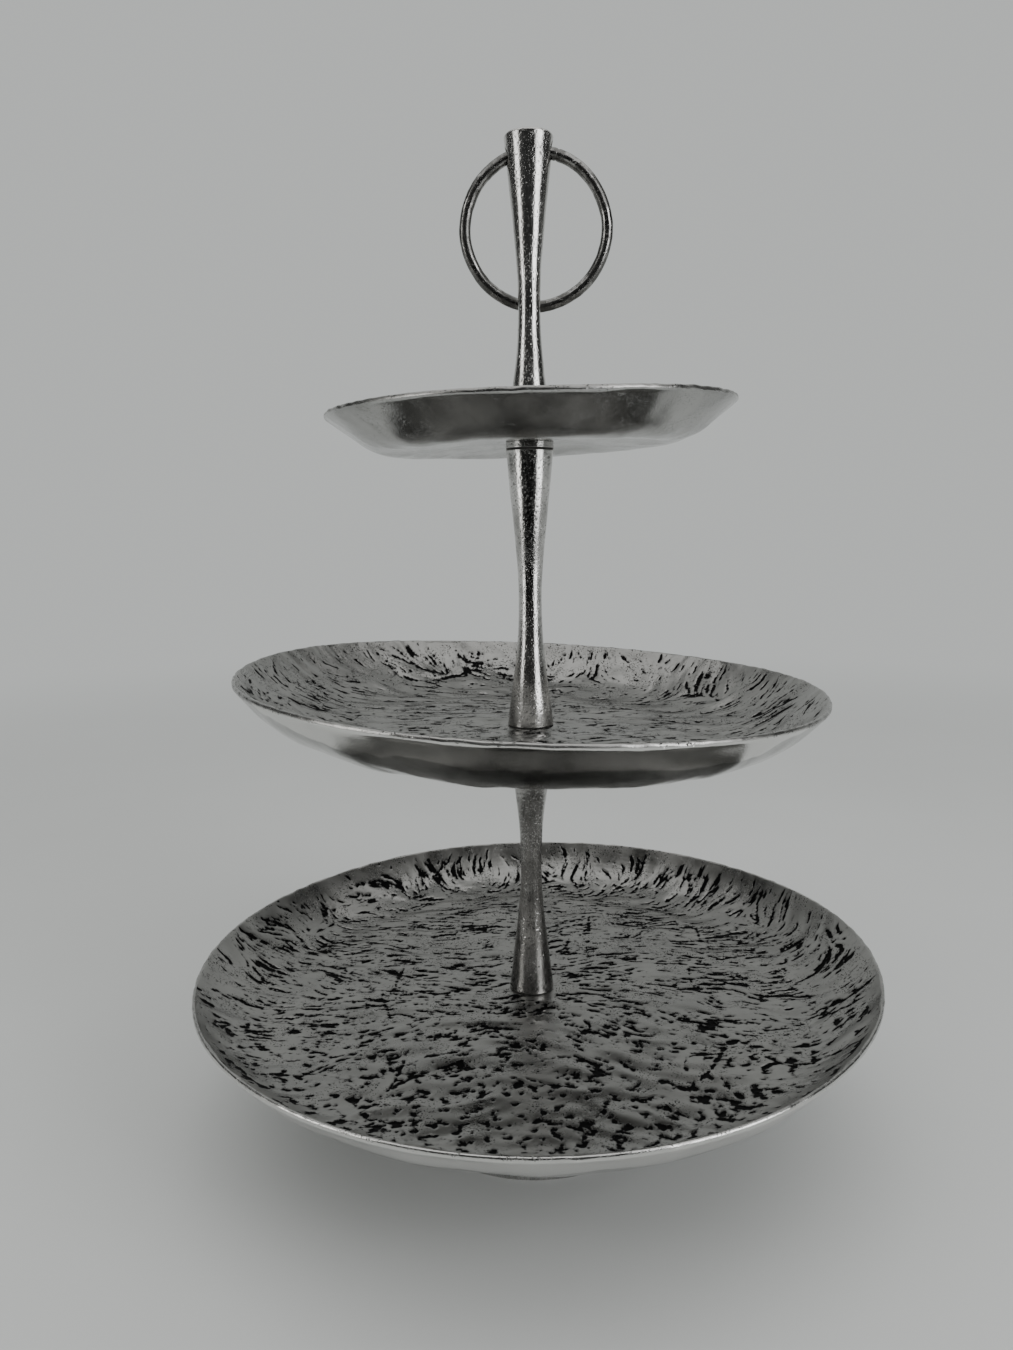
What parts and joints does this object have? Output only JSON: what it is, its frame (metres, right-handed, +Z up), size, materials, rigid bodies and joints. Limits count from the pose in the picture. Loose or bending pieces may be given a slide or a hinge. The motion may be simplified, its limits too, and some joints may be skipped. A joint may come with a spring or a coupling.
{
  "type": "tiered cake stand",
  "caption": "Tiered cake stand: round cast dishes clamped between waisted stems on a trumpet foot, with a loose carrying ring through the top stem.",
  "frame": {"origin": "middle of the foot's underside, on the table", "axes": "+Z up the stems, +X along the ring's hole, -Y to the front"},
  "size_m": [0.32, 0.32, 0.4513],
  "materials": {
    "cast_dish": "pitted casting, satin, dark in the pits",
    "cast_foot": "polished casting",
    "polished_stem": "polished casting, fine grain",
    "ring_wire": "smooth dull wire",
    "fasteners": "plain zinc"
  },
  "bodies": {
    "base": {"foot": "cast_foot", "base_washer": "fasteners", "base_nut": "fasteners", "base_stud": "fasteners", "bottom_tray": "cast_dish", "lower_stem": "polished_stem", "lower_stud": "fasteners"},
    "middle_tier": {"lower_collar": "polished_stem", "middle_tray": "cast_dish"},
    "middle_column": {"middle_stem": "polished_stem", "upper_stud": "fasteners"},
    "top_tier": {"upper_collar": "polished_stem", "top_tray": "cast_dish"},
    "handle": {"handle_stem": "polished_stem"},
    "ring": {"carrying_ring": "ring_wire"}
  },
  "joints": [
    {"name": "middle_lift", "type": "slide", "parent": "base", "child": "middle_tier", "axis": [0, 0, 1], "range_m": [0, 0.00901]},
    {"name": "middle_unscrew", "type": "hinge", "parent": "middle_tier", "child": "middle_column", "pos_m": [0, 0, 0.1933], "axis": [0, 0, 1], "range_deg": [0, 3240]},
    {"name": "top_lift", "type": "slide", "parent": "middle_column", "child": "top_tier", "axis": [0, 0, 1], "range_m": [0, 0.00901]},
    {"name": "handle_unscrew", "type": "hinge", "parent": "top_tier", "child": "handle", "pos_m": [0, 0, 0.3273], "axis": [0, 0, 1], "range_deg": [0, 3240]},
    {"name": "ring_swing", "type": "hinge", "parent": "handle", "child": "ring", "pos_m": [0, 0, 0.4436], "axis": [0.9945, 0, 0.1045], "range_deg": [0, 345]}
  ],
  "couplings": [
    {"joint": "middle_lift", "follows": "middle_unscrew", "m_per_rad": 0.00015915},
    {"joint": "top_lift", "follows": "handle_unscrew", "m_per_rad": 0.00015915}
  ]
}
